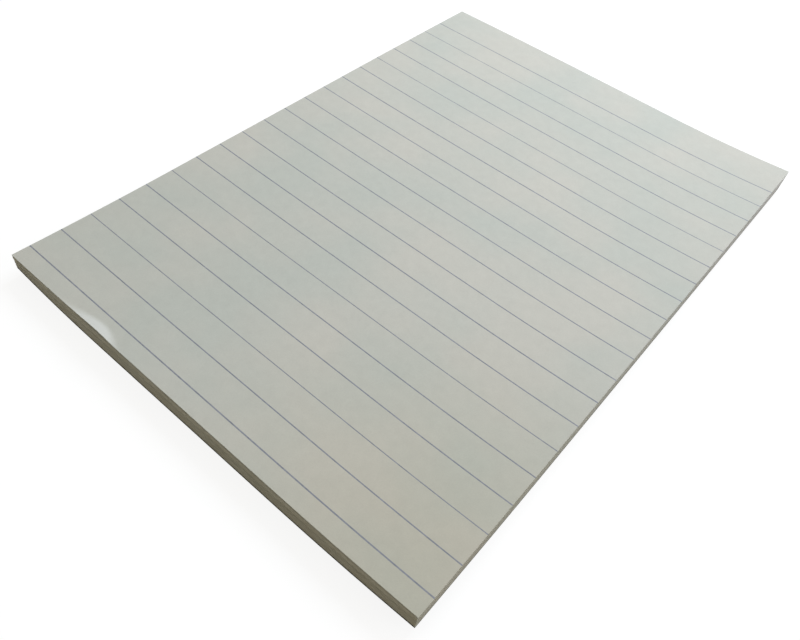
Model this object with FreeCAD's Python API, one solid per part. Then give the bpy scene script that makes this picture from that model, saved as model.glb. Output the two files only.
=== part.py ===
import FreeCAD, Part
import os

# Ruled writing pad: a stack of A5 sheets on a board, stuck together along the head.
# X runs across the sheet, Y runs from the foot up to the head, Z is up from the table.
# The origin is under the middle of the pad, on the table.
# The stack has been used: its page is a shallow dish and three corners of the pad curl up.

os.makedirs("parts", exist_ok=True)

# Sheets and board, cut to one size
sheet_width = 148.0
sheet_length = 210.0
board_thickness = 0.6

# Thickness of the stack of sheets in the middle, at the edges and at the corners. The loose
# foot end holds air between its sheets and stands thicker than the middle.
stack_middle = 5.8
stack_foot = 7.4
stack_head = 6.6
stack_left = 6.5
stack_right = 7.1
stack_foot_left = 4.7
stack_foot_right = 6.3
stack_head_left = 6.1
stack_head_right = 7.6

# How far in from each edge the page starts to rise
rise_from_foot = 55.0
rise_from_head = 70.0
rise_from_left = 60.0
rise_from_right = 45.0

# Corners of the pad that curl up off the table: height, and reach across and along the sheet
foot_left_curl = 2.9
foot_left_curl_across = 35.0
foot_left_curl_along = 45.0
foot_right_curl = 2.7
foot_right_curl_across = 45.0
foot_right_curl_along = 60.0
head_right_curl = 0.8
head_right_curl_across = 25.0
head_right_curl_along = 30.0

# Printed ruling, from edge to edge, with a clear band of at least head_margin at the head
line_pitch = 9.94
line_width = 0.35
line_above_foot = 5.6
head_margin = 15.0
ink_depth = 0.1

# Film of glue on the head face
glue_thickness = 0.3

# Outline of the pad, with the film of glue counted in its length
left = -sheet_width / 2
right = sheet_width / 2
foot = -(sheet_length + glue_thickness) / 2
head = foot + sheet_length
line_count = 1 + int((sheet_length - line_above_foot - head_margin) / line_pitch)

UP = FreeCAD.Vector(0, 0, 1)


def pole_places(knots):
    """Where the poles of a quadratic spline lie so that its parameter is the place itself."""
    middles = [(a + b) / 2 for a, b in zip(knots, knots[1:])]
    return [knots[0]] + middles + [knots[-1]]


def height_surface(knots_x, knots_y, rows):
    """A smooth surface over a rectangle; rows hold its pole heights, from the foot row up."""
    places_x = pole_places(knots_x)
    places_y = pole_places(knots_y)
    poles = []
    for i, x in enumerate(places_x):
        poles.append([FreeCAD.Vector(x, y, rows[j][i]) for j, y in enumerate(places_y)])
    surface = Part.BSplineSurface()
    surface.buildFromPolesMultsKnots(
        poles,
        [3] + [1] * (len(knots_x) - 2) + [3],
        [3] + [1] * (len(knots_y) - 2) + [3],
        knots_x,
        knots_y,
        False,
        False,
        2,
        2,
    )
    return surface


def curl_face(x_corner, y_corner, x_inner, y_inner, height):
    """The underside of one curled corner: full height at the corner, flat where it ends."""
    knots_x = sorted([x_corner, x_inner])
    knots_y = sorted([y_corner, y_inner])
    rows = [[0.0] * 3 for _ in range(3)]
    column = 0 if x_corner < x_inner else 2
    row = 0 if y_corner < y_inner else 2
    rows[row][column] = height
    return height_surface(knots_x, knots_y, rows).toShape()


def underside_faces():
    """The bottom of the board: a flat middle on the table and three curled corners."""
    foot_left_x = left + foot_left_curl_across
    foot_left_y = foot + foot_left_curl_along
    foot_right_x = right - foot_right_curl_across
    foot_right_y = foot + foot_right_curl_along
    head_right_x = right - head_right_curl_across
    head_right_y = head - head_right_curl_along
    flat_outline = [
        (foot_left_x, foot),
        (foot_right_x, foot),
        (foot_right_x, foot_right_y),
        (right, foot_right_y),
        (right, head_right_y),
        (head_right_x, head_right_y),
        (head_right_x, head),
        (left, head),
        (left, foot_left_y),
        (foot_left_x, foot_left_y),
        (foot_left_x, foot),
    ]
    flat = Part.Face(Part.makePolygon([FreeCAD.Vector(x, y, 0) for x, y in flat_outline]))
    return [
        flat,
        curl_face(left, foot, foot_left_x, foot_left_y, foot_left_curl),
        curl_face(right, foot, foot_right_x, foot_right_y, foot_right_curl),
        curl_face(right, head, head_right_x, head_right_y, head_right_curl),
    ]


def page_surface():
    """The top page: a dish with one height for its middle, its edges and its corners."""
    middle = board_thickness + stack_middle
    foot_edge = board_thickness + stack_foot
    head_edge = board_thickness + stack_head
    left_edge = board_thickness + stack_left
    right_edge = board_thickness + stack_right
    foot_left = board_thickness + foot_left_curl + stack_foot_left
    foot_right = board_thickness + foot_right_curl + stack_foot_right
    head_left = board_thickness + stack_head_left
    head_right = board_thickness + head_right_curl + stack_head_right
    rows = [
        [foot_left, foot_edge, foot_edge, foot_edge, foot_right],
        [left_edge, middle, middle, middle, right_edge],
        [left_edge, middle, middle, middle, right_edge],
        [left_edge, middle, middle, middle, right_edge],
        [head_left, head_edge, head_edge, head_edge, head_right],
    ]
    knots_x = [left, left + rise_from_left, right - rise_from_right, right]
    knots_y = [foot, foot + rise_from_foot, head - rise_from_head, head]
    return height_surface(knots_x, knots_y, rows)


def moved_up(faces, height):
    """Copies of faces, higher by the given height."""
    return [face.translated(UP * height) for face in faces]


def edges_on(faces, axis, place):
    """The edges of faces that lie on the upright plane at this place along axis 0 or 1."""
    found = []
    for face in faces:
        for edge in face.Edges:
            if all(abs(vertex.Point[axis] - place) < 1e-6 for vertex in edge.Vertexes):
                found.append(edge)
    return found


def end_points(edges, along):
    """The two outermost points of a run of edges, measured along axis 0 or 1."""
    points = [vertex.Point for edge in edges for vertex in edge.Vertexes]
    points.sort(key=lambda point: point[along])
    return points[0], points[-1]


def side_wall(lower, upper, axis, place):
    """The upright face that joins the lower faces to the upper faces on one side."""
    below = edges_on(lower, axis, place)
    above = edges_on(upper, axis, place)
    along = 1 - axis
    posts = []
    for low, high in zip(end_points(below, along), end_points(above, along)):
        posts.append(Part.makeLine(low, high))
    outline = Part.__sortEdges__(below + above + posts)
    return Part.Face(Part.Wire(outline))


def layer(lower, upper):
    """A closed solid between two sets of faces over the whole sheet."""
    faces = lower + upper
    for axis, place in ((0, left), (0, right), (1, foot), (1, head)):
        faces = faces + [side_wall(lower, upper, axis, place)]
    shell = Part.Shell(faces)
    shell.sewShape()
    solid = Part.Solid(Part.Shell(shell.Faces))
    if solid.Volume < 0:
        solid.reverse()
    return solid


def backing_board():
    """Stiff board under the sheets, with a flat face that rests on the table."""
    underside = underside_faces()
    return layer(underside, moved_up(underside, board_thickness))


def line_edges(index):
    """The lower and the upper edge of one printed line, as places along Y."""
    middle = foot + line_above_foot + index * line_pitch
    return middle - line_width / 2, middle + line_width / 2


def page_strip(page, lower, upper):
    """The face of the page between two places along Y."""
    strip = page.copy()
    strip.segment(left, right, lower, upper)
    return strip.toShape()


def ruled_lines(page):
    """The printed lines, one strip of ink each, flush with the page."""
    lines = []
    for index in range(line_count):
        strip = page_strip(page, *line_edges(index))
        lines.append(strip.extrude(UP * -ink_depth))
    return Part.makeCompound(lines)


def channelled_page(page):
    """The page between the printed lines, and the channel that each line's ink soaks into."""
    faces = []
    band_start = foot
    for index in range(line_count):
        lower, upper = line_edges(index)
        strip = page_strip(page, lower, upper)
        faces.append(page_strip(page, band_start, lower))
        faces.append(strip.translated(UP * -ink_depth))
        for edge in edges_on([strip], 1, lower) + edges_on([strip], 1, upper):
            faces.append(edge.extrude(UP * -ink_depth))
        band_start = upper
    faces.append(page_strip(page, band_start, head))
    return faces


def sheet_stack(page):
    """The sheets as one solid, from the top of the board to the page."""
    return layer(moved_up(underside_faces(), board_thickness), channelled_page(page))


def head_glue(page):
    """Dried glue brushed over the head face, across the edges of the sheets and the board."""
    face = side_wall(underside_faces(), [page.toShape()], 1, head)
    return face.extrude(FreeCAD.Vector(0, glue_thickness, 0))


def save(name, shape):
    """Writes one sub-part and prints what it measures."""
    box = shape.BoundBox
    size = f"{box.XLength:.2f} x {box.YLength:.2f} x {box.ZLength:.2f} mm"
    print(name, len(shape.Solids), "solids", f"{shape.Volume:.1f} mm3", size, "valid", shape.isValid())
    shape.exportStep(f"parts/{name}.step")


page = page_surface()
save("backing_board", backing_board())
save("sheet_stack", sheet_stack(page))
save("ruled_lines", ruled_lines(page))
save("head_glue", head_glue(page))
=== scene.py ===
# %% [markdown]
# # A ruled writing pad
# The object is a glued pad of A5 sheets on a grey board. It lies on a table with its head away
# from the reader. The page is printed with pale blue-grey lines from edge to edge. The pad has
# been handled: its page is a shallow dish, three corners curl up, and the loose end at the foot
# has a small ripple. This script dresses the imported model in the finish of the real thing.
#
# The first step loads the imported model. It is the fixed frame: everything made below takes its
# size and place from it. The box around it is kept, to be compared with the finished pad.

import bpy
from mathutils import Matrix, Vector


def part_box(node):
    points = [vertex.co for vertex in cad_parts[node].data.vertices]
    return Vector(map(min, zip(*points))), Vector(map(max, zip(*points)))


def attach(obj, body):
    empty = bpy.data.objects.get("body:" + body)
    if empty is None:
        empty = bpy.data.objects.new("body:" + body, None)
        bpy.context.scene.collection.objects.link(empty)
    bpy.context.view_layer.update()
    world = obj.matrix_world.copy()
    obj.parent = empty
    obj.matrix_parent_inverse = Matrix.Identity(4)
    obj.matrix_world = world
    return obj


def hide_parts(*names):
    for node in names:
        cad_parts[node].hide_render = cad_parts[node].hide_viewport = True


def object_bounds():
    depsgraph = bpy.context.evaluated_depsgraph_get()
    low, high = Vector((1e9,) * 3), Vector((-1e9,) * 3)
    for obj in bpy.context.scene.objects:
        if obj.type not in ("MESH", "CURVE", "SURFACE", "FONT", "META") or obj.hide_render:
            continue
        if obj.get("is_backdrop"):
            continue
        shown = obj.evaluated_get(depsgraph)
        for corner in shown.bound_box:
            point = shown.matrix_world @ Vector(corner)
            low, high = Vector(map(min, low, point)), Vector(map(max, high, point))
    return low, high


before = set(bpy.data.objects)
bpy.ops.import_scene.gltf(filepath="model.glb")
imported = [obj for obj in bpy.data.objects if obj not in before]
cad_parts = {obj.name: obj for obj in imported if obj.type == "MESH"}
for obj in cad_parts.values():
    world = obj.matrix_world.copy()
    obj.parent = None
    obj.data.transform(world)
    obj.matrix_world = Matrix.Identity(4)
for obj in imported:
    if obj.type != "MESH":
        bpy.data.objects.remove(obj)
cad_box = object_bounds()

# %% [markdown]
# ## Sizes
# Blender works in metres, but a pad is easier to think of in millimetres, so every size below is
# in millimetres and is turned into metres at the last moment. The outline of the sheets comes
# from the frame. The heights are those of the real pad: how thick the stack is in the middle, at
# the edges and at the corners, and how far three corners of the pad curl up off the table.

# %% Sizes from the frame
import math
import random

import bmesh
import bpy
from mathutils import Matrix, Vector

MM = 0.001


def box_mm(node):
    """The lowest and the highest corner of a node of the frame, in millimetres."""
    low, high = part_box(node)
    return [value / MM for value in low], [value / MM for value in high]


(left, foot, stack_bottom), (right, head, stack_top) = box_mm("sheet_stack")
width = right - left
length = head - foot
glue_outside = box_mm("head_glue")[1][1]
print("sheet", round(width, 2), "x", round(length, 2), "mm, stack up to", round(stack_top, 2))

# %% Heights of the real pad
board_thickness = stack_bottom
stack_middle = 5.8
stack_foot = 7.4
stack_head = 6.6
stack_left = 6.5
stack_right = 7.1
stack_foot_left = 4.7
stack_foot_right = 6.3
stack_head_left = 6.1
stack_head_right = 7.6
rise_from_foot = 55.0
rise_from_head = 70.0
rise_from_left = 60.0
rise_from_right = 45.0

foot_left_curl = 2.9
foot_left_curl_across = 35.0
foot_left_curl_along = 45.0
foot_right_curl = 2.7
foot_right_curl_across = 45.0
foot_right_curl_along = 60.0
head_right_curl = 0.8
head_right_curl_across = 25.0
head_right_curl_along = 30.0

line_pitch = 9.94
line_width = 0.35
line_above_foot = 5.6
print("thinnest corner", stack_foot_left, "mm, loose foot", stack_foot, "mm")

# %% [markdown]
# ## The shape of a bent pad
# A sheet of paper bends far more easily than it stretches, so a used pad has long, gentle
# curves. Sculpting could give them, but not twice the same. A formula is better here: each edge
# of the page rises by its own amount, as the square of the distance past the place where it
# starts to rise. The underside is flat on the table apart from three corners.

# %% Height of the page and of the underside
def edge_weights(from_first, from_last, first_reach, last_reach):
    """How much the first edge, the middle and the last edge count at one place."""
    first = max(0.0, 1.0 - from_first / first_reach) ** 2
    last = max(0.0, 1.0 - from_last / last_reach) ** 2
    return first, 1.0 - first - last, last


def page_height(x, y):
    """Height of the top of the page over the table, without its ripple."""
    at_left, across, at_right = edge_weights(x - left, right - x, rise_from_left, rise_from_right)
    at_foot, along, at_head = edge_weights(y - foot, head - y, rise_from_foot, rise_from_head)
    foot_row = (
        at_left * (foot_left_curl + stack_foot_left)
        + across * stack_foot
        + at_right * (foot_right_curl + stack_foot_right)
    )
    middle_row = at_left * stack_left + across * stack_middle + at_right * stack_right
    head_row = (
        at_left * stack_head_left
        + across * stack_head
        + at_right * (head_right_curl + stack_head_right)
    )
    return board_thickness + at_foot * foot_row + along * middle_row + at_head * head_row


def corner_curl(across, along, across_reach, along_reach, height):
    """Height of one curled corner at a distance across and along the sheet from it."""
    fade_across = max(0.0, 1.0 - across / across_reach) ** 2
    fade_along = max(0.0, 1.0 - along / along_reach) ** 2
    return height * fade_across * fade_along


def underside_height(x, y):
    """Height of the underside of the board over the table."""
    return (
        corner_curl(x - left, y - foot, foot_left_curl_across, foot_left_curl_along, foot_left_curl)
        + corner_curl(
            right - x, y - foot, foot_right_curl_across, foot_right_curl_along, foot_right_curl
        )
        + corner_curl(
            right - x, head - y, head_right_curl_across, head_right_curl_along, head_right_curl
        )
    )


print("page", round(page_height(0.0, 0.0), 2), "mm high in the middle")
print("foot corners", round(page_height(left, foot), 2), "and", round(page_height(right, foot), 2))

# %% [markdown]
# The loose end of the top sheets has a ripple at the foot edge, near the left corner. It rises
# slowly from the left, falls off faster on the right, and reaches deepest into the page under
# its crest. From its fold to the foot edge it rises in a straight slope. The slope faces the
# light behind the pad, so it shows as a bright patch, which the paper adds to with a painted
# highlight. The sheets right under the top one follow it less and less.

# %% The ripple at the foot
ripple_crest = left + 38.5
ripple_height = 0.75
ripple_left_reach = 8.8
ripple_right_reach = 5.3
ripple_depth = 3.1


def ripple(x, y):
    """Extra height of the top sheet in its ripple."""
    reach = ripple_left_reach if x < ripple_crest else ripple_right_reach
    across = math.exp(-(((x - ripple_crest) / reach) ** 2))
    depth = ripple_depth * math.sqrt(across)
    return ripple_height * across * max(0.0, 1.0 - (y - foot) / depth)


print("ripple", round(ripple(ripple_crest, foot), 2), "mm at its crest")

# %% [markdown]
# ## Helpers for modelling
# Every operator works on what is selected, and loading the frame leaves its nodes selected, so
# each new piece starts from a clean selection. A new sheet-like piece starts as a grid, is
# stretched over the whole sheet, and then each of its points is put where the real one lies.

# %% Grid, placing and modifiers
def only(piece):
    """Makes one object the only one that is selected, and the active one."""
    bpy.ops.object.select_all(action="DESELECT")
    piece.select_set(True)
    bpy.context.view_layer.objects.active = piece


def sheet_grid(name, columns, rows):
    """A flat grid over the whole sheet, with its middle at the origin of the sheet."""
    bpy.ops.object.select_all(action="DESELECT")
    bpy.ops.mesh.primitive_grid_add(x_subdivisions=columns, y_subdivisions=rows, size=1.0)
    piece = bpy.context.object
    piece.name = name
    piece.scale = (width * MM, length * MM, 1.0)
    piece.location = (0.0, (foot + head) / 2 * MM, 0.0)
    bpy.ops.object.transform_apply(location=True, rotation=True, scale=True)
    return piece


def place_points(piece, place):
    """Moves every point of a mesh to place(x, y, z), in millimetres."""
    for point in piece.data.vertices:
        x, y, z = (value / MM for value in point.co)
        point.co = Vector(place(x, y, z)) * MM
    piece.data.update()


def apply_modifier(piece, kind, **settings):
    """Adds a modifier, sets it up and applies it."""
    only(piece)
    modifier = piece.modifiers.new(kind.title(), kind)
    for name, value in settings.items():
        setattr(modifier, name, value)
    bpy.ops.object.modifier_apply(modifier=modifier.name)


def smooth_faces(piece, degrees):
    """Shades faces smooth where they meet at less than this angle."""
    only(piece)
    bpy.ops.object.shade_smooth_by_angle(angle=math.radians(degrees))


def triangles(piece):
    """How many triangles a mesh has."""
    return sum(len(face.vertices) - 2 for face in piece.data.polygons)


# %% [markdown]
# ## Materials
# Colours are picked as sRGB hex values, as in a paint program, but shaders work in linear light,
# so one function converts them. Another small function adds a node with its settings and links,
# so that a material reads as a list of what it is made of. Every pattern is a noise whose size
# is that of the real thing, in millimetres. A squeeze over 1 makes a pattern that many times
# finer up the side than along it, and one under 1 draws it out upwards instead.

# %% Colour and node helpers
noise_roughness = 0.55
multiply = {"data_type": "RGBA", "blend_type": "MULTIPLY", 0: 1.0}


def linear(hex_colour):
    """An sRGB hex colour as linear RGBA."""
    channels = [int(hex_colour[i : i + 2], 16) / 255 for i in (1, 3, 5)]
    bent = [c / 12.92 if c <= 0.04045 else ((c + 0.055) / 1.055) ** 2.4 for c in channels]
    return (*bent, 1.0)


def add(tree, kind, settings, links=(), stops=()):
    """Adds a shader node. Settings go to its sockets of that name or number, or else to the node
    itself. Links join its sockets to others. Stops are a ramp's positions and hex colours."""
    node = tree.nodes.new("ShaderNode" + kind)
    for name, value in settings.items():
        if isinstance(name, int) or name in node.inputs:
            node.inputs[name].default_value = value
        else:
            setattr(node, name, value)
    for socket, source in links:
        tree.links.new(source, node.inputs[socket])
    for number, (position, colour) in enumerate(stops):
        elements = node.color_ramp.elements
        stop = elements[number] if number < len(elements) else elements.new(position)
        stop.position = position
        stop.color = linear(colour)
    return node


def new_material(name, roughness, ior):
    """A named material. Gives it, its tree, its shader, and the place that patterns lie at."""
    material = bpy.data.materials.new(name)
    material.use_nodes = True
    tree = material.node_tree
    tree.nodes.clear()
    shader = add(tree, "BsdfPrincipled", {"Roughness": roughness, "IOR": ior})
    add(tree, "OutputMaterial", {}, [("Surface", shader.outputs["BSDF"])])
    place = add(tree, "TexCoord", {}).outputs["Object"]
    return material, tree, shader, place


print("mid grey is", round(linear("#808080")[0], 3), "in linear light")

# %% [markdown]
# The page is uncoated wood-free writing paper. It has no gloss to speak of. Looked at closely it
# is a felt of fibres about 0.03 mm wide and a millimetre long, pressed flat, and a sheet is
# slightly cloudy because the fibres lie thicker in some places. Three noises give that: broad
# cloudiness, small clouds a few millimetres wide, and clumps of fibres. Single fibres are too
# fine for the picture, so the clumps and the tooth are drawn at 0.3 and 0.25 mm. Around the
# right corner of the foot the paper is a little greyer and yellower. Where the top sheet stands
# clear of the stack in its ripple, a painted highlight makes it paler, for the bright patch of
# light there. The mesh says where that is, with a value on each of its points.

# %% Writing paper
broad_cloud = 35.0
small_cloud = 3.0
fibre_clump = 0.3
paper_tooth = 0.25
paper_tooth_depth = 0.02
corner_tint_reach = 95.0


def writing_paper():
    """Uncoated paper: matt, faintly cloudy, with a fine tooth."""
    material, tree, shader, place = new_material(
        "uncoated_writing_paper", roughness=0.8, ior=1.45
    )
    layers = []
    for size, detail, stops in (
        (broad_cloud, 2.0, [(0.35, "#C4C6BD"), (0.65, "#CCC9BF")]),
        (small_cloud, 4.0, [(0.3, "#FAFAFA"), (0.7, "#FFFFFF")]),
        (fibre_clump, 2.0, [(0.3, "#F9F9F9"), (0.7, "#FFFFFF")]),
    ):
        settings = {"Scale": 1 / (size * MM), "Detail": detail, "Roughness": noise_roughness}
        pattern = add(tree, "TexNoise", settings, [("Vector", place)]).outputs[0]
        layers.append(add(tree, "ValToRGB", {}, [("Fac", pattern)], stops).outputs[0])

    # The paper is a little greyer and yellower towards the right corner of the foot.
    settings = {"operation": "DISTANCE", 1: (right * MM, foot * MM, stack_top * MM)}
    away = add(tree, "VectorMath", settings, [(0, place)]).outputs["Value"]
    settings = {"interpolation_type": "SMOOTHSTEP", 2: corner_tint_reach * MM}
    clean = add(tree, "MapRange", settings, [(0, away)]).outputs[0]
    stops = [(0.0, "#F6F3EB"), (1.0, "#FFFFFF")]
    layers.append(add(tree, "ValToRGB", {}, [("Fac", clean)], stops).outputs[0])
    colour = layers[0]
    for layer in layers[1:]:
        colour = add(tree, "Mix", multiply, [(6, colour), (7, layer)]).outputs[2]

    # Painted highlight: paler paper where the ripple stands clear, for its bright patch.
    clear = add(tree, "Attribute", {"attribute_name": "painted_highlight_share"}).outputs["Fac"]
    painted_highlight = {"data_type": "RGBA", 7: linear("#D5D5CF")}
    colour = add(tree, "Mix", painted_highlight, [(0, clear), (6, colour)]).outputs[2]
    tree.links.new(colour, shader.inputs["Base Color"])

    settings = {"Scale": 1 / (paper_tooth * MM), "Detail": 3.0, "Roughness": noise_roughness}
    tooth = add(tree, "TexNoise", settings, [("Vector", place)]).outputs[0]
    settings = {"Strength": 0.5, "Distance": paper_tooth_depth * MM}
    relief = add(tree, "Bump", settings, [("Height", tooth)]).outputs[0]
    tree.links.new(relief, shader.inputs["Normal"])
    return material


paper = writing_paper()
print("made", paper.name)

# %% [markdown]
# The sides of the pad are cut by a guillotine. The knife leaves each sheet's edge as a fuzzy,
# open felt, which drinks in light and looks warmer and darker than the page. The layers run along
# the side in streaks, and the knife leaves faint upright marks across them. Single sheets, knife
# marks and fibres are all too fine to show, so the streaks are drawn 0.2 mm high, the marks 0.5 mm
# wide and the fuzz at 0.15 mm. The edges are painted darker towards the board and left bright near
# the page: painted shade near the table, and painted light where light soaks down through the top
# sheets. They are also yellower at the foot and neutral towards the head.

# %% Cut edges of the sheets
streak_length = 6.0
streak_squeeze = 28.0
knife_mark = 0.5
knife_mark_squeeze = 0.08
knife_mark_strength = 0.8
edge_fuzz = 0.15
edge_fuzz_depth = 0.05
painted_shade_height = 8.6
foot_tint_full_to = -50.0
foot_tint_gone_at = 75.0


def cut_paper_edge():
    """The guillotined side of a stack: warm, dull, streaked along the sheets."""
    material, tree, shader, place = new_material(
        "guillotined_paper_edge", roughness=0.95, ior=1.4
    )
    layers = []
    streak_stops = [(0.3, "#D2CDC2"), (0.5, "#E8E5E1"), (0.72, "#F2F2F4")]
    knife_stops = [(0.35, "#F2F1EE"), (0.6, "#FFFFFF")]
    for size, squeeze, detail, stops in (
        (streak_length, streak_squeeze, 3.0, streak_stops),
        (knife_mark, knife_mark_squeeze, 2.0, knife_stops),
    ):
        cycles = 1 / (size * MM)
        settings = {"Scale": (cycles, cycles, cycles * squeeze)}
        squeezed = add(tree, "Mapping", settings, [("Vector", place)]).outputs[0]
        settings = {"Scale": 1.0, "Detail": detail, "Roughness": noise_roughness}
        pattern = add(tree, "TexNoise", settings, [("Vector", squeezed)]).outputs[0]
        layers.append(add(tree, "ValToRGB", {}, [("Fac", pattern)], stops).outputs[0])
    streaks, marks = layers
    settings = {**multiply, 0: knife_mark_strength}
    colour = add(tree, "Mix", settings, [(6, streaks), (7, marks)]).outputs[2]

    axes = add(tree, "SeparateXYZ", {}, [(0, place)]).outputs
    # Painted shade darkens the edges towards the board, and a tint makes them yellower at the foot.
    for axis, start, end, tint in (
        ("Z", board_thickness, painted_shade_height, "#E2E0DC"),
        ("Y", foot_tint_full_to, foot_tint_gone_at, "#FFFCEB"),
    ):
        share = add(tree, "MapRange", {1: start * MM, 2: end * MM}, [(0, axes[axis])]).outputs[0]
        stops = [(0.0, tint), (1.0, "#FFFFFF")]
        painted_shade_and_foot_tint = add(tree, "ValToRGB", {}, [("Fac", share)], stops).outputs[0]
        colour = add(tree, "Mix", multiply, [(6, colour), (7, painted_shade_and_foot_tint)]).outputs[2]
    tree.links.new(colour, shader.inputs["Base Color"])

    settings = {"Scale": 1 / (edge_fuzz * MM), "Detail": 3.0, "Roughness": noise_roughness}
    fuzz = add(tree, "TexNoise", settings, [("Vector", place)]).outputs[0]
    settings = {"Strength": 0.6, "Distance": edge_fuzz_depth * MM}
    relief = add(tree, "Bump", settings, [("Height", fuzz)]).outputs[0]
    tree.links.new(relief, shader.inputs["Normal"])
    return material


paper_edge = cut_paper_edge()
print("made", paper_edge.name)

# %% [markdown]
# The ruling is printed with thin blue-grey offset ink. On uncoated paper it sinks in and dries
# matt, with the paper's tooth still in it. Its density wavers a little along the line, over a
# millimetre or so, where the paper took more or less of it.

# %% Ruling ink
ink_mottle = 1.2


def ruling_ink():
    """Thin blue-grey ink, soaked into the paper, with uneven density."""
    material, tree, shader, place = new_material(
        "blue_grey_offset_ink", roughness=0.7, ior=1.45
    )
    settings = {"Scale": 1 / (ink_mottle * MM), "Detail": 4.0, "Roughness": noise_roughness}
    density = add(tree, "TexNoise", settings, [("Vector", place)]).outputs[0]
    stops = [(0.3, "#7C7F88"), (0.7, "#93959E")]
    colour = add(tree, "ValToRGB", {}, [("Fac", density)], stops).outputs[0]
    tree.links.new(colour, shader.inputs["Base Color"])

    settings = {"Scale": 1 / (paper_tooth * MM), "Detail": 3.0, "Roughness": noise_roughness}
    tooth = add(tree, "TexNoise", settings, [("Vector", place)]).outputs[0]
    settings = {"Strength": 0.5, "Distance": paper_tooth_depth * MM}
    relief = add(tree, "Bump", settings, [("Height", tooth)]).outputs[0]
    tree.links.new(relief, shader.inputs["Normal"])
    return material


ink = ruling_ink()
print("made", ink.name)

# %% [markdown]
# The board is grey board, pressed from waste paper. It is dull, and full of specks: dark ones
# from old print, pale ones from unprinted fibre. The specks are about half a millimetre wide, as
# on real board. Its fibres are too fine to show, so its relief is drawn at 0.35 mm.

# %% Grey board
pulp_cloud = 2.5
dark_speck = 0.45
dark_speck_strength = 0.8
pale_speck = 0.6
pale_speck_from = 0.68
pale_speck_full = 0.74
board_fibre = 0.35
board_fibre_depth = 0.06


def grey_board():
    """Recycled board: dull brown-grey with dark and pale specks."""
    material, tree, shader, place = new_material(
        "recycled_grey_board", roughness=0.95, ior=1.4
    )
    patterns = []
    for size, detail in (
        (pulp_cloud, 5.0),
        (dark_speck, 1.0),
        (pale_speck, 1.0),
        (board_fibre, 4.0),
    ):
        settings = {"Scale": 1 / (size * MM), "Detail": detail, "Roughness": noise_roughness}
        patterns.append(add(tree, "TexNoise", settings, [("Vector", place)]).outputs[0])
    pulp, dark, pale, fibre = patterns

    stops = [(0.3, "#6F695D"), (0.7, "#837D70")]
    colour = add(tree, "ValToRGB", {}, [("Fac", pulp)], stops).outputs[0]
    stops = [(0.27, "#4A463F"), (0.33, "#FFFFFF")]
    print_specks = add(tree, "ValToRGB", {}, [("Fac", dark)], stops).outputs[0]
    settings = {**multiply, 0: dark_speck_strength}
    colour = add(tree, "Mix", settings, [(6, colour), (7, print_specks)]).outputs[2]
    settings = {1: pale_speck_from, 2: pale_speck_full}
    share = add(tree, "MapRange", settings, [(0, pale)]).outputs[0]
    unprinted = {"data_type": "RGBA", 7: linear("#B3AE9F")}
    colour = add(tree, "Mix", unprinted, [(0, share), (6, colour)]).outputs[2]
    tree.links.new(colour, shader.inputs["Base Color"])

    settings = {"Strength": 0.6, "Distance": board_fibre_depth * MM}
    relief = add(tree, "Bump", settings, [("Height", fibre)]).outputs[0]
    tree.links.new(relief, shader.inputs["Normal"])
    return material


board_stock = grey_board()
print("made", board_stock.name)

# %% [markdown]
# The board was cut with the pad. Its edge is denser and darker than its face, crushed by the
# knife, and it is drawn darker still as painted shade for the contact shadow along the table. So
# it draws the dark line under the sheets. The knife presses its layers into flat streaks about a
# millimetre long.

# %% Cut edge of the board
crushed_fibre = 1.2
crushed_fibre_squeeze = 4.0
crushed_fibre_depth = 0.08


def cut_board_edge():
    """The crushed edge of the grey board: dark in itself, and darker still as painted contact
    shadow.
    """
    material, tree, shader, place = new_material(
        "board_edge_and_painted_shadow", roughness=0.95, ior=1.4
    )
    cycles = 1 / (crushed_fibre * MM)
    settings = {"Scale": (cycles, cycles, cycles * crushed_fibre_squeeze)}
    squeezed = add(tree, "Mapping", settings, [("Vector", place)]).outputs[0]
    settings = {"Scale": 1.0, "Detail": 4.0, "Roughness": noise_roughness}
    fibre = add(tree, "TexNoise", settings, [("Vector", squeezed)]).outputs[0]
    # Partly the board's own dark edge, partly painted shadow for the contact shadow along the
    # table.
    stops = [(0.3, "#38332C"), (0.7, "#504A40")]
    colour = add(tree, "ValToRGB", {}, [("Fac", fibre)], stops).outputs[0]
    tree.links.new(colour, shader.inputs["Base Color"])
    settings = {"Strength": 0.6, "Distance": crushed_fibre_depth * MM}
    relief = add(tree, "Bump", settings, [("Height", fibre)]).outputs[0]
    tree.links.new(relief, shader.inputs["Normal"])
    return material


board_edge = cut_board_edge()
print("made", board_edge.name)

# %% [markdown]
# The head is held by padding glue, a white wood glue that stays a little rubbery. It is brushed
# on and dries to a milky satin film, with the brush marks in it. A mark is long along the head
# and about 0.6 mm high, the track of a few bristles.

# %% Padding glue
brush_stroke = 9.0
brush_stroke_squeeze = 14.0
brush_stroke_depth = 0.08


def padding_glue():
    """Dried white glue: milky, satin, with brush marks along the head."""
    material, tree, shader, place = new_material(
        "dried_padding_glue", roughness=0.38, ior=1.47
    )
    cycles = 1 / (brush_stroke * MM)
    settings = {"Scale": (cycles, cycles, cycles * brush_stroke_squeeze)}
    squeezed = add(tree, "Mapping", settings, [("Vector", place)]).outputs[0]
    settings = {"Scale": 1.0, "Detail": 3.0, "Roughness": noise_roughness}
    strokes = add(tree, "TexNoise", settings, [("Vector", squeezed)]).outputs[0]
    stops = [(0.3, "#CFCBBB"), (0.7, "#DEDBCD")]
    colour = add(tree, "ValToRGB", {}, [("Fac", strokes)], stops).outputs[0]
    tree.links.new(colour, shader.inputs["Base Color"])
    settings = {"Strength": 0.7, "Distance": brush_stroke_depth * MM}
    relief = add(tree, "Bump", settings, [("Height", strokes)]).outputs[0]
    tree.links.new(relief, shader.inputs["Normal"])
    return material


glue = padding_glue()
print("made", glue.name)

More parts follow.
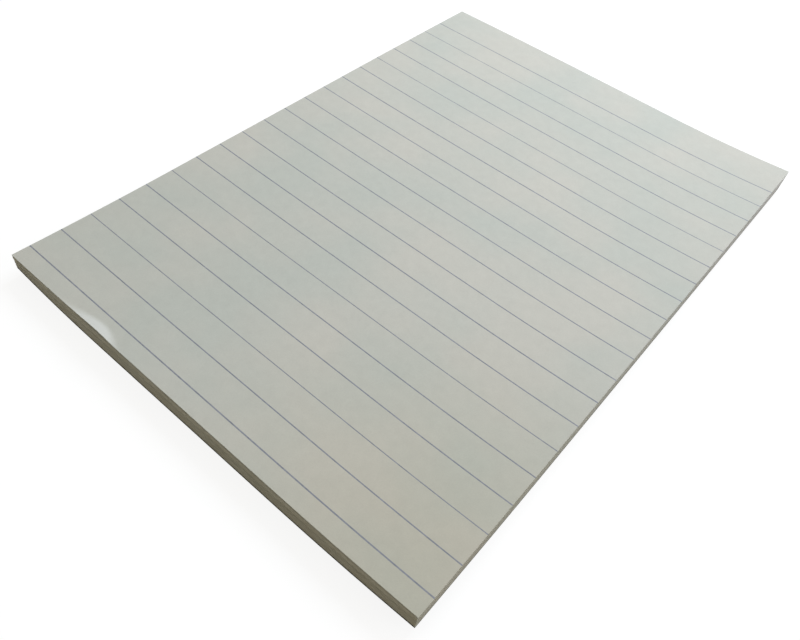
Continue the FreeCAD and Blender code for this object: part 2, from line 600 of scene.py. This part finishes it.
# %% [markdown]
# ## The top sheet
# The top sheet carries the ruling and the ripple, so it gets a fine grid. The ruling has to
# follow every bend of the page. The page is therefore cut along both edges of every line first,
# while it is still flat, and only then bent. The faces between each pair of cuts are the line.
# The ripple gets a few more cuts each way, because its fold is sharper than any other bend.

# %% Cut the page along its ruling
sheet_thickness = 0.09
head_margin = 15.0
line_middles = []
middle = foot + line_above_foot
while middle < head - head_margin:
    line_middles.append(middle)
    middle += line_pitch

page_columns = 110
page_rows = 156
fold_row_step = 0.45
fold_rows = 9
fold_column_step = 1.1
fold_columns = 21
fold_start = ripple_crest - 14.0

top_sheet = sheet_grid("top_sheet", page_columns, page_rows)
line_cuts = [middle + side * line_width / 2 for middle in line_middles for side in (-1, 1)]
fold_cuts = [foot + fold_row_step * step for step in range(1, fold_rows + 1)]
cross_cuts = [fold_start + fold_column_step * step for step in range(fold_columns)]
cuts = [((0.0, y * MM, 0.0), (0.0, 1.0, 0.0)) for y in line_cuts + fold_cuts]
cuts += [((x * MM, 0.0, 0.0), (1.0, 0.0, 0.0)) for x in cross_cuts]
only(top_sheet)
bpy.ops.object.mode_set(mode="EDIT")
for place, direction in cuts:
    bpy.ops.mesh.select_all(action="SELECT")
    bpy.ops.mesh.bisect(plane_co=place, plane_no=direction)
bpy.ops.object.mode_set(mode="OBJECT")
print(len(line_middles), "ruled lines,", len(top_sheet.data.polygons), "faces")

# %% [markdown]
# Now every point goes up to its height. Each one also keeps a value that says how far the sheet
# stands clear of the stack there, from 0 to 1, which the paper's material reads to paint a
# highlight.

# %% Bend the page
# The rise of the ripple at which the painted highlight is full.
full_highlight_rise = 0.25

place_points(top_sheet, lambda x, y, z: (x, y, page_height(x, y) + ripple(x, y)))
painted_highlight_share = top_sheet.data.attributes.new("painted_highlight_share", "FLOAT", "POINT")
for point, value in zip(top_sheet.data.vertices, painted_highlight_share.data):
    value.value = min(1.0, ripple(point.co.x / MM, point.co.y / MM) / full_highlight_rise)
highest = max(point.co.z for point in top_sheet.data.vertices) / MM
print("page rises to", round(highest, 2), "mm")

# %% [markdown]
# The faces of the lines are selected by their place, copied, and separated from the sheet. They
# are raised by a few thousandths of a millimetre and given a thickness of the same kind, like
# real ink. The sheet itself is then thickened downwards.

# %% Ruled lines
def is_inked(y):
    """Whether a place along the sheet lies between the edges of a line."""
    return any(abs(y - middle) < line_width / 2 for middle in line_middles)


only(top_sheet)
bpy.ops.object.mode_set(mode="EDIT")
bpy.ops.mesh.select_all(action="DESELECT")
page_mesh = bmesh.from_edit_mesh(top_sheet.data)
for face in page_mesh.faces:
    face.select_set(is_inked(face.calc_center_median().y / MM))
bmesh.update_edit_mesh(top_sheet.data)
bpy.ops.mesh.duplicate()
bpy.ops.mesh.separate(type="SELECTED")
bpy.ops.object.mode_set(mode="OBJECT")
ruling = next(o for o in bpy.context.selected_objects if o is not top_sheet)
ruling.name = "ruling"
print("ruling", len(ruling.data.polygons), "faces before it gets its thickness")

# %% Thickness of the ink and of the sheet
ink_lift = 0.004
ink_film = 0.006


def inside_sheet(x, y, z):
    """Keeps a point within the outline that the knife cut."""
    return min(max(x, left), right), min(max(y, foot), head), z


place_points(ruling, lambda x, y, z: (x, y, z + ink_lift))
apply_modifier(ruling, "SOLIDIFY", thickness=ink_film * MM, offset=1.0)
apply_modifier(top_sheet, "SOLIDIFY", thickness=sheet_thickness * MM, offset=-1.0)
for piece in (ruling, top_sheet):
    place_points(piece, inside_sheet)
print("ruling", triangles(ruling), "triangles, top sheet", triangles(top_sheet))

# %% [markdown]
# Two materials go on each sheet: paper on its faces, and the cut edge on its sides. A side face
# is known by its normal, which lies nearly level.

# %% Materials on a sheet
level_normal = 0.5
sheet_smoothing = 35.0


def dress(piece, face_material, side_material):
    """One material on the faces of a sheet and another on its cut sides."""
    piece.data.materials.clear()
    piece.data.materials.append(face_material)
    piece.data.materials.append(side_material)
    for face in piece.data.polygons:
        face.material_index = 1 if abs(face.normal.z) < level_normal else 0
    smooth_faces(piece, sheet_smoothing)


dress(top_sheet, paper, paper_edge)
ruling.data.materials.append(ink)
smooth_faces(ruling, sheet_smoothing)
print("side faces", sum(face.material_index for face in top_sheet.data.polygons))

# %% [markdown]
# ## The sheets under it
# The rest of the stack could be one block with a striped side. Real sheets show more: at the
# loose foot they part into small bunches with dark gaps between, and they lie tight only where
# the glue holds them. So each sheet is a closed slab of its own. It keeps to its share of the
# stack's height, and the shares are worked out twice, once for the foot, with uneven gaps, and
# once for the head, with almost none. At the foot most gaps are narrow, and about one in three
# is wide enough to part two bunches.

# %% Shares of the stack
sheet_count = 49
foot_gap_share = 0.3
head_gap_share = 0.03
gap_weights = (0.2, 0.3, 0.4, 0.5, 1.6, 3.0)
random.seed(7)


def stack_shares(gaps, gap_share):
    """For each sheet, the part of the stack's height where it starts and where it ends."""
    sheet_share = (1.0 - gap_share) / len(gaps)
    shares = []
    start = 0.0
    for gap in gaps:
        start += gap / sum(gaps) * gap_share
        shares.append((start, start + sheet_share))
        start += sheet_share
    return shares


bunch_gaps = [random.choice(gap_weights) for _ in range(sheet_count)]
foot_shares = stack_shares(bunch_gaps, foot_gap_share)
head_shares = stack_shares([1.0] * sheet_count, head_gap_share)
widest_gap = max(bunch_gaps) / sum(bunch_gaps) * foot_gap_share * stack_foot
print("widest gap at the foot", round(widest_gap, 2), "mm")

# %% [markdown]
# One sheet is modelled flat and then copied. Its rows lie closer together near the foot, where
# the sheets bend most, so that it needs few of them.

# %% One sheet, modelled once
grid_columns = 41
grid_rows = 18
foot_crowding = 2.4

blank_sheet = sheet_grid("blank_sheet", grid_columns, grid_rows)


def crowd_to_foot(x, y, z):
    """Moves the rows of the grid towards the foot, where the sheet bends most."""
    share = max(0.0, (y - foot) / length) ** foot_crowding
    return x, foot + length * share, z


place_points(blank_sheet, crowd_to_foot)
apply_modifier(blank_sheet, "SOLIDIFY", thickness=sheet_thickness * MM, offset=0.0)
print("one sheet has", triangles(blank_sheet), "triangles")

# %% [markdown]
# Each copy is bent to its place in the stack. The knife cut all the sheets at once, but they
# have shifted since by about a tenth of a millimetre at the foot, and not at all at the glued
# head.

# %% Stack the sheets
largest_shift = 0.12
ripple_followers = 2


def bend_sheet(piece, number):
    """Bends one sheet to its place in the stack, counted from the board."""
    foot_start, foot_end = foot_shares[number]
    head_start, head_end = head_shares[number]
    foot_shift = random.uniform(0.0, largest_shift)
    left_shift = random.uniform(0.0, largest_shift)
    right_shift = random.uniform(0.0, largest_shift)
    below_top = sheet_count - number
    follow = max(0.0, 1.0 - below_top / (ripple_followers + 1))

    def place(x, y, z):
        head_share = (y - foot) / length
        loose = 1.0 - head_share
        start = foot_start * loose + head_start * head_share
        end = foot_end * loose + head_end * head_share
        floor = underside_height(x, y) + board_thickness
        room = page_height(x, y) - sheet_thickness - floor
        height = floor + room * (end if z > 0.0 else start) + ripple(x, y) * follow
        from_left = (x - left) / width
        shift = loose * (left_shift * (1.0 - from_left) - right_shift * from_left)
        return x + shift, y + foot_shift * loose, height

    place_points(piece, place)


sheets = []
for number in range(sheet_count):
    sheet = blank_sheet.copy()
    sheet.data = blank_sheet.data.copy()
    bpy.context.collection.objects.link(sheet)
    bend_sheet(sheet, number)
    sheets.append(sheet)
bpy.data.objects.remove(blank_sheet)
print(len(sheets), "sheets under the top one")

# %% Join the sheets into one piece
bpy.ops.object.select_all(action="DESELECT")
for sheet in sheets:
    sheet.select_set(True)
bpy.context.view_layer.objects.active = sheets[0]
bpy.ops.object.join()
lower_sheets = bpy.context.object
lower_sheets.name = "lower_sheets"
dress(lower_sheets, paper, paper_edge)
print("lower sheets", triangles(lower_sheets), "triangles")

# %% [markdown]
# ## The board
# The board is stamped from a larger sheet. It is stiffer than the paper, its edge is a little
# crushed by the knife, and it bends with the pad only at the three curled corners. It starts as
# a grid like the sheets, is bent to the underside, thickened upwards, and its rims are bevelled.

# %% Backing board
board_columns = 60
board_rows = 84
board_rim = 0.07
rim_angle_radians = 1.0

board = sheet_grid("board", board_columns, board_rows)
place_points(board, lambda x, y, z: (x, y, underside_height(x, y)))
apply_modifier(board, "SOLIDIFY", thickness=board_thickness * MM, offset=1.0)
place_points(board, inside_sheet)
apply_modifier(
    board,
    "BEVEL",
    width=board_rim * MM,
    segments=2,
    limit_method="ANGLE",
    angle_limit=rim_angle_radians,
)
dress(board, board_stock, board_edge)
print("board", triangles(board), "triangles")

# %% [markdown]
# ## The glue on the head
# The film of glue covers the cut edges of all the sheets and of the board. The brush went along
# the head, so the film is thicker in some strokes than in others and its upper rim wavers. It
# starts as a grid too, one that is stood up against the head face and then thickened outwards
# by moving its outer points.

# %% Head glue
glue_film = glue_outside - head
glue_columns = 110
glue_rows = 10
off_the_table = 0.02
rim_waver = 0.22
rim_phase = 1.0
rim_share = 0.35
rim_swell = 6.0
stroke_depth = 0.06
stroke_turn = 5.0
glue_smoothing = 50.0
waves = ((11.0, 1.0), (4.7, 2.3), (2.1, 0.0))


def slow_wave(x, phase):
    """A gentle uneven wave between 0 and 1 along the head."""
    height = sum(math.sin(x / span + turn * phase) for span, turn in waves)
    return 0.5 + height / (2 * len(waves))


def place_glue(x, y, z):
    """Stands the grid up: its rows run up the head face, and its two sides are in and out."""
    up = (y - foot) / length
    low = underside_height(x, head) + off_the_table
    high = page_height(x, head) - rim_waver * slow_wave(x, rim_phase)
    height = low + (high - low) * up
    if z <= 0.0:
        return x, head, height
    swell = min(1.0, rim_swell * min(up, 1.0 - up))
    bulge = swell * (1.0 - stroke_depth / glue_film * slow_wave(x, stroke_turn * up))
    return x, head + glue_film * (rim_share + (1.0 - rim_share) * bulge), height


head_film = sheet_grid("head_film", glue_columns, glue_rows)
apply_modifier(head_film, "SOLIDIFY", thickness=glue_film * MM, offset=0.0)
place_points(head_film, place_glue)
only(head_film)
bpy.ops.object.mode_set(mode="EDIT")
bpy.ops.mesh.select_all(action="SELECT")
bpy.ops.mesh.normals_make_consistent(inside=False)
bpy.ops.object.mode_set(mode="OBJECT")
head_film.data.materials.append(glue)
smooth_faces(head_film, glue_smoothing)
print("glue film", round(glue_film, 2), "mm thick,", triangles(head_film), "triangles")

# %% [markdown]
# ## What each piece stands for
# Every piece rides on the pad's one body and takes the place of the solid that it shows. The
# two pieces made of sheets stand for the stack together.

# %% Tie the pieces to the frame
for piece, node, slot_name in (
    (top_sheet, "sheet_stack", "paper"),
    (lower_sheets, "sheet_stack", "paper"),
    (ruling, "ruled_lines", "ruling_ink"),
    (board, "backing_board", "grey_board"),
    (head_film, "head_glue", "pad_glue"),
):
    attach(piece, "root")
    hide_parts(node)
    print(piece.name, "stands for", node)

# %% [markdown]
# ## Floor
# The pad lies on a plain table in front of nothing at all. To the camera the floor is nearly
# white wherever light falls on it, and it keeps the pad's shadow. To light that bounces off it,
# it is a mid grey, so that the shaded foot of the pad stays as dark as it is. The table and the
# surround behind it both tell rays that show them from rays that only carry light.

# %% Table top
table_size = 6.0
table_drop = 0.02
table_glow = 0.87


def seen_rays(tree):
    """A socket that is 1 for rays that show a thing, straight, mirrored or through glass."""
    path = add(tree, "LightPath", {})
    seen = path.outputs["Is Camera Ray"]
    for other in ("Is Glossy Ray", "Is Transmission Ray"):
        links = [(0, seen), (1, path.outputs[other])]
        seen = add(tree, "Math", {"operation": "MAXIMUM"}, links).outputs[0]
    return seen


def table_top():
    """White to the eye, mid grey to bounced light."""
    material = bpy.data.materials.new("white_table_top")
    material.use_nodes = True
    tree = material.node_tree
    tree.nodes.clear()
    bounce = add(tree, "BsdfDiffuse", {"Color": linear("#8A8880")})
    matt = add(tree, "BsdfDiffuse", {"Color": linear("#787878")})
    white = add(tree, "Emission", {"Color": linear("#FFFFFF"), "Strength": table_glow})
    both = add(tree, "AddShader", {}, [(0, matt.outputs[0]), (1, white.outputs[0])])
    links = [(0, seen_rays(tree)), (1, bounce.outputs[0]), (2, both.outputs[0])]
    surface = add(tree, "MixShader", {}, links)
    add(tree, "OutputMaterial", {}, [("Surface", surface.outputs[0])])
    return material


bpy.ops.object.select_all(action="DESELECT")
bpy.ops.mesh.primitive_plane_add(size=table_size, location=(0.0, 0.0, -table_drop * MM))
table = bpy.context.object
table.name = "table_top"
table.data.materials.append(table_top())
table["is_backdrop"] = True
print("table top", table.dimensions.x, "m wide")

# %% [markdown]
# ## Light
# Two soft lights, like two windows of a room, light the pad. One is behind its head, so the page
# is brightest at the head and the foot is in shade. The other is away to the right, and it lights
# the right side. A plain pale surround fills the shadows. To the eye the surround is white.
# Places and sizes of the windows are in metres, and their power is in watts.

# %% Window light and surround
lit_spot = Vector((0.0, 0.0, 0.0))
fill_strength = 0.38

for name, spot, size, power, colour in (
    ("window_behind", (0.0, 0.3, 0.38), 0.3, 1.88, "#E7F1FE"),
    ("window_aside", (0.8, 0.3, 0.5), 0.5, 2.65, "#E9EFFF"),
):
    bpy.ops.object.select_all(action="DESELECT")
    bpy.ops.object.light_add(type="AREA", location=spot)
    lamp = bpy.context.object
    lamp.name = name
    lamp.data.size = size
    lamp.data.energy = power
    lamp.data.color = linear(colour)[:3]
    lamp.rotation_euler = (lit_spot - Vector(spot)).to_track_quat("-Z", "Y").to_euler()

surround = bpy.data.worlds.new("surround")
bpy.context.scene.world = surround
surround.use_nodes = True
sky = surround.node_tree
sky.nodes.clear()
fill = add(sky, "Background", {"Color": linear("#FFFAE9"), "Strength": fill_strength})
backdrop = add(sky, "Background", {"Color": linear("#FFFFFF"), "Strength": 1.0})
links = [(0, seen_rays(sky)), (1, fill.outputs[0]), (2, backdrop.outputs[0])]
shown = add(sky, "MixShader", {}, links)
add(sky, "OutputWorld", {}, [("Surface", shown.outputs[0])])
bpy.context.scene.view_settings.view_transform = "Standard"

# %% [markdown]
# ## Camera
# The reader's eye is near the right corner of the foot, looking down across the page. The
# camera's place, what it looks at, how far it is tipped and its field of view come from matching
# the page's edges and lines.

# %% Camera
camera_place = Vector((92.17, -156.23, 168.18)) * MM
camera_aim = Vector((18.20, -45.03, 7.0)) * MM
camera_tip = math.radians(-8.725)
sensor_width = 36.0
lens = 33.672
nearest_seen = 0.01

bpy.ops.object.camera_add(location=camera_place)
camera = bpy.context.object
camera.name = "camera"
level = (camera_aim - camera_place).to_track_quat("-Z", "Y").to_matrix()
camera.rotation_euler = (level @ Matrix.Rotation(-camera_tip, 3, "Z")).to_euler()
camera.data.sensor_width = sensor_width
camera.data.lens = lens
camera.data.clip_start = nearest_seen
bpy.context.scene.camera = camera
print("camera", round((camera_aim - camera_place).length / MM), "mm from what it looks at")

# %% [markdown]
# ## Check the size
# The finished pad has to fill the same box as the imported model. Both boxes are written down.

# %% Compare the boxes
visual_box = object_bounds()
for name, (low, high) in (("cad", cad_box), ("visual", visual_box)):
    print(name, [round((b - a) / MM, 2) for a, b in zip(low, high)], "mm")
